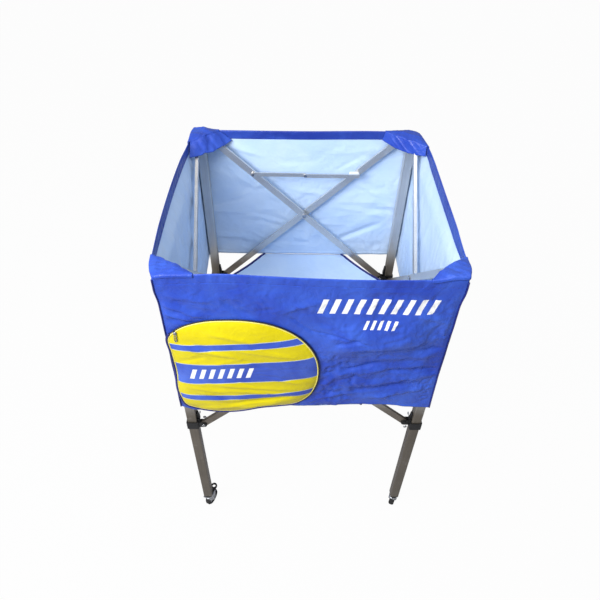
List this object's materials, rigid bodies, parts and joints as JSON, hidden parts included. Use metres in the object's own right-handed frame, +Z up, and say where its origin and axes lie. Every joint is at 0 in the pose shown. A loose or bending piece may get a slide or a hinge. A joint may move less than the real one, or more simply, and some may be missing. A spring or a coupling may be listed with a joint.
{
  "type": "folding ball cart",
  "caption": "Folding square ball cart: fabric basket hung in a scissor frame of four tube legs on swivel casters, with a round zipped pocket on the front wall.",
  "frame": {"origin": "on the floor, under the middle of the cart's box", "axes": "+X to the cart's right, +Y to its rear, +Z up; the wall with the round pocket is the front and faces -Y"},
  "size_m": [0.6238, 0.648, 0.9833],
  "materials": {
    "aluminium": "satin warm-grey anodised aluminium tube",
    "black_plastic": "black moulded nylon",
    "steel": "bright plated steel",
    "white_nylon": "white moulded nylon",
    "tyre_rubber": "black caster tread",
    "blue_cloth": "royal blue coated nylon, pale on its back",
    "pale_cloth": "pale blue back of the coated nylon",
    "yellow_cloth": "bright yellow coated nylon with blue bands"
  },
  "bodies": {
    "stand_front_left": {"leg_front_left": "aluminium", "top_bracket_front_left": "black_plastic", "caster_socket_front_left": "steel", "corner_pocket_front_left": "blue_cloth", "wall_front": "blue_cloth", "wall_left": "blue_cloth", "ball_pocket": "yellow_cloth", "zip_pull": "steel"},
    "stand_front_right": {"leg_front_right": "aluminium", "top_bracket_front_right": "black_plastic", "caster_socket_front_right": "steel", "corner_pocket_front_right": "blue_cloth", "wall_right": "blue_cloth"},
    "stand_rear_left": {"leg_rear_left": "aluminium", "top_bracket_rear_left": "black_plastic", "caster_socket_rear_left": "steel", "corner_pocket_rear_left": "blue_cloth", "wall_rear": "blue_cloth"},
    "stand_rear_right": {"leg_rear_right": "aluminium", "top_bracket_rear_right": "black_plastic", "caster_socket_rear_right": "steel", "corner_pocket_rear_right": "blue_cloth"},
    "bar_front_a": {"bar_front_a": "aluminium", "centre_rivet_front": "steel"},
    "bar_front_b": {"bar_front_b": "aluminium"},
    "bar_left_a": {"bar_left_a": "aluminium", "centre_rivet_left": "steel"},
    "bar_left_b": {"bar_left_b": "aluminium"},
    "bar_right_a": {"bar_right_a": "aluminium", "centre_rivet_right": "steel"},
    "bar_right_b": {"bar_right_b": "aluminium"},
    "bar_rear_a": {"bar_rear_a": "aluminium", "centre_rivet_rear": "steel", "stay_rivet_left": "steel"},
    "bar_rear_b": {"bar_rear_b": "aluminium"},
    "slider_front_left": {"slider_front_left": "black_plastic"},
    "slider_front_right": {"slider_front_right": "black_plastic"},
    "slider_rear_left": {"slider_rear_left": "black_plastic"},
    "slider_rear_right": {"slider_rear_right": "black_plastic"},
    "latch_front_left": {"latch_front_left": "black_plastic"},
    "latch_front_right": {"latch_front_right": "black_plastic"},
    "latch_rear_left": {"latch_rear_left": "black_plastic"},
    "latch_rear_right": {"latch_rear_right": "black_plastic"},
    "stay_left": {"stay_left": "aluminium", "stay_hinge_rivet": "steel"},
    "stay_right": {"stay_right": "aluminium", "stay_end_fitting": "white_nylon"},
    "floor_front": {"floor_front": "pale_cloth"},
    "floor_rear": {"floor_rear": "pale_cloth"},
    "caster_front_left": {"caster_fork_front_left": "steel"},
    "caster_front_right": {"caster_fork_front_right": "steel"},
    "caster_rear_left": {"caster_fork_rear_left": "steel"},
    "caster_rear_right": {"caster_fork_rear_right": "steel"},
    "wheel_front_left": {"wheel_front_left": "tyre_rubber"},
    "wheel_front_right": {"wheel_front_right": "tyre_rubber"},
    "wheel_rear_left": {"wheel_rear_left": "tyre_rubber"},
    "wheel_rear_right": {"wheel_rear_right": "tyre_rubber"},
    "brake_front_left": {"brake_pedal_front_left": "black_plastic"},
    "brake_front_right": {"brake_pedal_front_right": "black_plastic"}
  },
  "joints": [
    {"name": "fold", "type": "hinge", "parent": "stand_front_left", "child": "bar_front_a", "pos_m": [-0.26339, -0.29025, 0.963], "axis": [0, 1, 0], "range_deg": [0, 40], "deforming": ["wall_front", "wall_left", "wall_right", "wall_rear", "ball_pocket", "floor_front", "floor_rear"]},
    {"name": "cross_front", "type": "hinge", "parent": "bar_front_a", "child": "bar_front_b", "pos_m": [-0.00139, -0.29025, 0.713], "axis": [0, 1, 0], "range_deg": [-80, 0]},
    {"name": "top_front_right", "type": "hinge", "parent": "bar_front_b", "child": "stand_front_right", "pos_m": [0.26061, -0.29025, 0.963], "axis": [0, 1, 0], "range_deg": [0, 40]},
    {"name": "fold_left_a", "type": "hinge", "parent": "stand_front_left", "child": "bar_left_a", "pos_m": [-0.29139, -0.26225, 0.963], "axis": [-1, 0, 0], "range_deg": [0, 40]},
    {"name": "cross_left", "type": "hinge", "parent": "bar_left_a", "child": "bar_left_b", "pos_m": [-0.29139, -0.00025, 0.713], "axis": [-1, 0, 0], "range_deg": [-80, 0]},
    {"name": "top_rear_left", "type": "hinge", "parent": "bar_left_b", "child": "stand_rear_left", "pos_m": [-0.29139, 0.26175, 0.963], "axis": [-1, 0, 0], "range_deg": [0, 40]},
    {"name": "fold_right_a", "type": "hinge", "parent": "stand_front_right", "child": "bar_right_a", "pos_m": [0.28861, -0.26225, 0.963], "axis": [-1, 0, 0], "range_deg": [0, 40]},
    {"name": "cross_right", "type": "hinge", "parent": "bar_right_a", "child": "bar_right_b", "pos_m": [0.28861, -0.00025, 0.713], "axis": [-1, 0, 0], "range_deg": [-80, 0]},
    {"name": "top_rear_right", "type": "hinge", "parent": "bar_right_b", "child": "stand_rear_right", "pos_m": [0.28861, 0.26175, 0.963], "axis": [-1, 0, 0], "range_deg": [0, 40]},
    {"name": "fold_rear_a", "type": "hinge", "parent": "stand_rear_left", "child": "bar_rear_a", "pos_m": [-0.26339, 0.28975, 0.963], "axis": [0, 1, 0], "range_deg": [0, 40]},
    {"name": "cross_rear", "type": "hinge", "parent": "bar_rear_a", "child": "bar_rear_b", "pos_m": [-0.00139, 0.28975, 0.713], "axis": [0, 1, 0], "range_deg": [-80, 0]},
    {"name": "slider_front_left_pivot", "type": "hinge", "parent": "bar_front_b", "child": "slider_front_left", "pos_m": [-0.26339, -0.29025, 0.463], "axis": [0, 1, 0], "range_deg": [0, 40]},
    {"name": "slider_front_right_pivot", "type": "hinge", "parent": "bar_front_a", "child": "slider_front_right", "pos_m": [0.26061, -0.29025, 0.463], "axis": [0, 1, 0], "range_deg": [-40, 0]},
    {"name": "slider_rear_left_pivot", "type": "hinge", "parent": "bar_left_a", "child": "slider_rear_left", "pos_m": [-0.29139, 0.26175, 0.463], "axis": [-1, 0, 0], "range_deg": [-40, 0]},
    {"name": "slider_rear_right_pivot", "type": "hinge", "parent": "bar_right_a", "child": "slider_rear_right", "pos_m": [0.28861, 0.26175, 0.463], "axis": [-1, 0, 0], "range_deg": [-40, 0]},
    {"name": "stay_left_pivot", "type": "hinge", "parent": "bar_rear_a", "child": "stay_left", "pos_m": [-0.1523, 0.28975, 0.85701], "axis": [0, 1, 0], "range_deg": [-121.22, 0]},
    {"name": "stay_middle_hinge", "type": "hinge", "parent": "stay_left", "child": "stay_right", "pos_m": [-0.00139, 0.28975, 0.85701], "axis": [0, 1, 0], "range_deg": [0, 162.43]},
    {"name": "floor_front_hinge", "type": "hinge", "parent": "stand_front_left", "child": "floor_front", "pos_m": [-0.00139, -0.30545, 0.543], "axis": [1, 0, 0], "range_deg": [0, 74.12]},
    {"name": "floor_rear_hinge", "type": "hinge", "parent": "stand_rear_left", "child": "floor_rear", "pos_m": [-0.00139, 0.30495, 0.543], "axis": [1, 0, 0], "range_deg": [-74.12, 0]},
    {"name": "latch_front_left_lever", "type": "hinge", "parent": "slider_front_left", "child": "latch_front_left", "pos_m": [-0.27559, -0.29025, 0.48], "axis": [0, 1, 0], "range_deg": [0, 6], "stiffness_Nm_per_rad": 0.3},
    {"name": "latch_front_right_lever", "type": "hinge", "parent": "slider_front_right", "child": "latch_front_right", "pos_m": [0.27281, -0.29025, 0.48], "axis": [0, -1, 0], "range_deg": [0, 6], "stiffness_Nm_per_rad": 0.3},
    {"name": "latch_rear_left_lever", "type": "hinge", "parent": "slider_rear_left", "child": "latch_rear_left", "pos_m": [-0.27559, 0.28975, 0.48], "axis": [0, 1, 0], "range_deg": [0, 6], "stiffness_Nm_per_rad": 0.3},
    {"name": "latch_rear_right_lever", "type": "hinge", "parent": "slider_rear_right", "child": "latch_rear_right", "pos_m": [0.27281, 0.28975, 0.48], "axis": [0, -1, 0], "range_deg": [0, 6], "stiffness_Nm_per_rad": 0.3},
    {"name": "swivel_front_left", "type": "hinge", "parent": "stand_front_left", "child": "caster_front_left", "pos_m": [-0.29139, -0.29025, 0.06], "axis": [0, 0, 1], "continuous": true},
    {"name": "roll_front_left", "type": "hinge", "parent": "caster_front_left", "child": "wheel_front_left", "pos_m": [-0.28674, -0.28028, 0.02469], "axis": [0.9063, -0.4226, 0], "continuous": true},
    {"name": "brake_front_left", "type": "hinge", "parent": "caster_front_left", "child": "brake_front_left", "pos_m": [-0.28441, -0.2753, 0.05694], "axis": [-0.9063, 0.4226, 0], "range_deg": [0, 12]},
    {"name": "swivel_front_right", "type": "hinge", "parent": "stand_front_right", "child": "caster_front_right", "pos_m": [0.28861, -0.29025, 0.06], "axis": [0, 0, 1], "continuous": true},
    {"name": "roll_front_right", "type": "hinge", "parent": "caster_front_right", "child": "wheel_front_right", "pos_m": [0.29326, -0.28028, 0.02469], "axis": [0.9063, -0.4226, 0], "continuous": true},
    {"name": "brake_front_right", "type": "hinge", "parent": "caster_front_right", "child": "brake_front_right", "pos_m": [0.29559, -0.2753, 0.05694], "axis": [-0.9063, 0.4226, 0], "range_deg": [0, 12]},
    {"name": "swivel_rear_left", "type": "hinge", "parent": "stand_rear_left", "child": "caster_rear_left", "pos_m": [-0.29139, 0.28975, 0.06], "axis": [0, 0, 1], "continuous": true},
    {"name": "roll_rear_left", "type": "hinge", "parent": "caster_rear_left", "child": "wheel_rear_left", "pos_m": [-0.28674, 0.29972, 0.02469], "axis": [0.9063, -0.4226, 0], "continuous": true},
    {"name": "swivel_rear_right", "type": "hinge", "parent": "stand_rear_right", "child": "caster_rear_right", "pos_m": [0.28861, 0.28975, 0.06], "axis": [0, 0, 1], "continuous": true},
    {"name": "roll_rear_right", "type": "hinge", "parent": "caster_rear_right", "child": "wheel_rear_right", "pos_m": [0.29326, 0.29972, 0.02469], "axis": [0.9063, -0.4226, 0], "continuous": true}
  ],
  "couplings": [
    {"joint": "cross_front", "follows": "fold", "ratio": -2},
    {"joint": "top_front_right", "follows": "fold", "ratio": 1},
    {"joint": "fold_left_a", "follows": "fold", "ratio": 1},
    {"joint": "cross_left", "follows": "fold", "ratio": -2},
    {"joint": "top_rear_left", "follows": "fold", "ratio": 1},
    {"joint": "fold_right_a", "follows": "fold", "ratio": 1},
    {"joint": "cross_right", "follows": "fold", "ratio": -2},
    {"joint": "top_rear_right", "follows": "fold", "ratio": 1},
    {"joint": "fold_rear_a", "follows": "fold", "ratio": 1},
    {"joint": "cross_rear", "follows": "fold", "ratio": -2},
    {"joint": "slider_front_left_pivot", "follows": "fold", "ratio": 1},
    {"joint": "slider_front_right_pivot", "follows": "fold", "ratio": -1},
    {"joint": "slider_rear_left_pivot", "follows": "fold", "ratio": -1},
    {"joint": "slider_rear_right_pivot", "follows": "fold", "ratio": -1},
    {"joint": "stay_left_pivot", "follows": "fold", "ratio": -3.0304},
    {"joint": "stay_middle_hinge", "follows": "fold", "ratio": 4.0608},
    {"joint": "floor_front_hinge", "follows": "fold", "ratio": 1.853},
    {"joint": "floor_rear_hinge", "follows": "fold", "ratio": -1.853}
  ]
}
